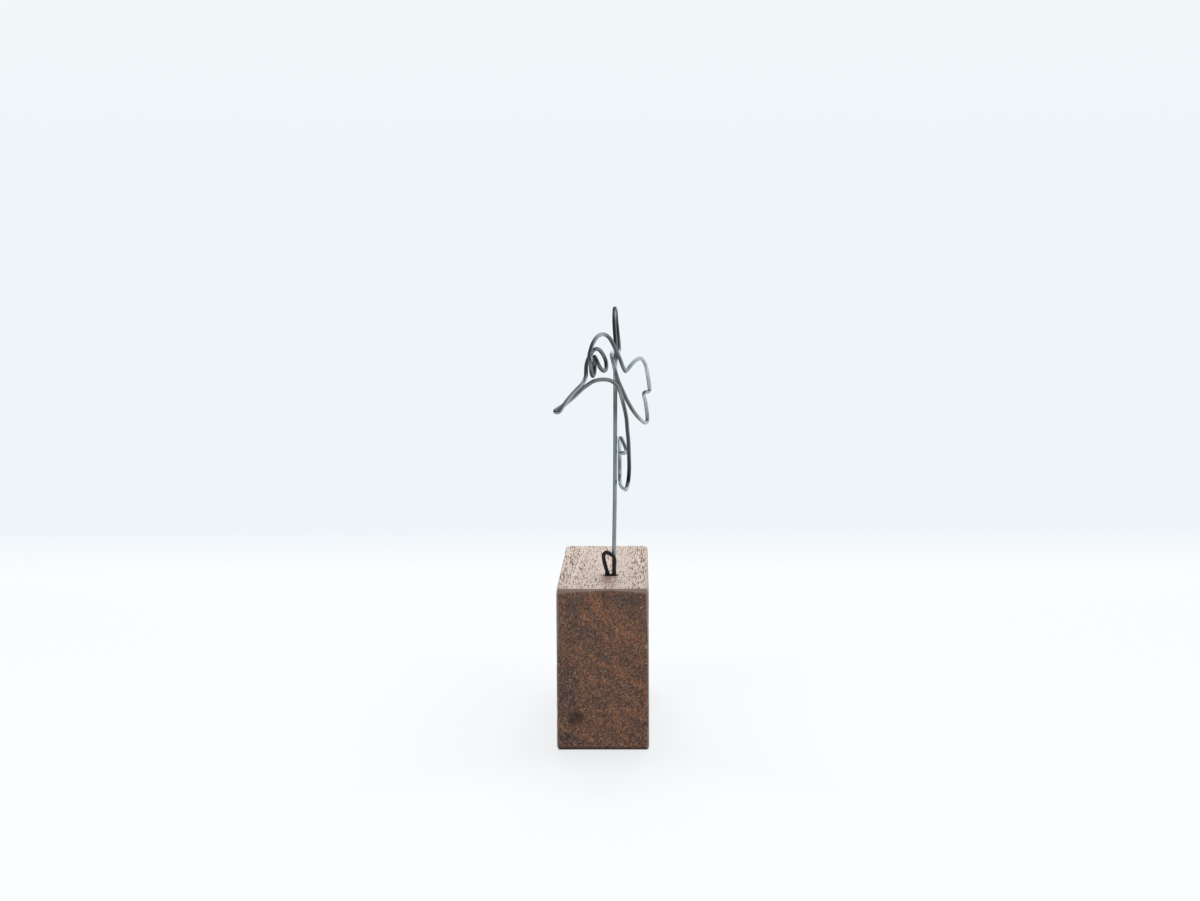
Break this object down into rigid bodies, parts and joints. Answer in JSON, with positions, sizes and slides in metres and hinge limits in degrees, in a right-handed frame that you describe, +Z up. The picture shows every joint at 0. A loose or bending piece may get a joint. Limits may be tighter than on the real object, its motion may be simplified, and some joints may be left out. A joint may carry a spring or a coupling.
{
  "type": "wire sculpture",
  "caption": "Hovering long-beaked bird bent from one round steel wire, on a wire post set in a small walnut block, with a black wire loop at its foot.",
  "frame": {"origin": "centre of the block's underside", "axes": "+Z up, +Y along the block away from the bird's beak, +X to the right of someone who faces the block's front end"},
  "size_m": [0.0289, 0.1, 0.1284],
  "materials": {
    "walnut": "sawn and lightly sanded, unpolished, pale dust in the pores",
    "annealed_iron": "dark grey satin wire with drawing marks",
    "black_wire": "black satin, worn greyer over the bend"
  },
  "bodies": {
    "root": {"walnut_block": "walnut", "bird_wire": "annealed_iron", "base_loop": "black_wire"}
  },
  "joints": []
}
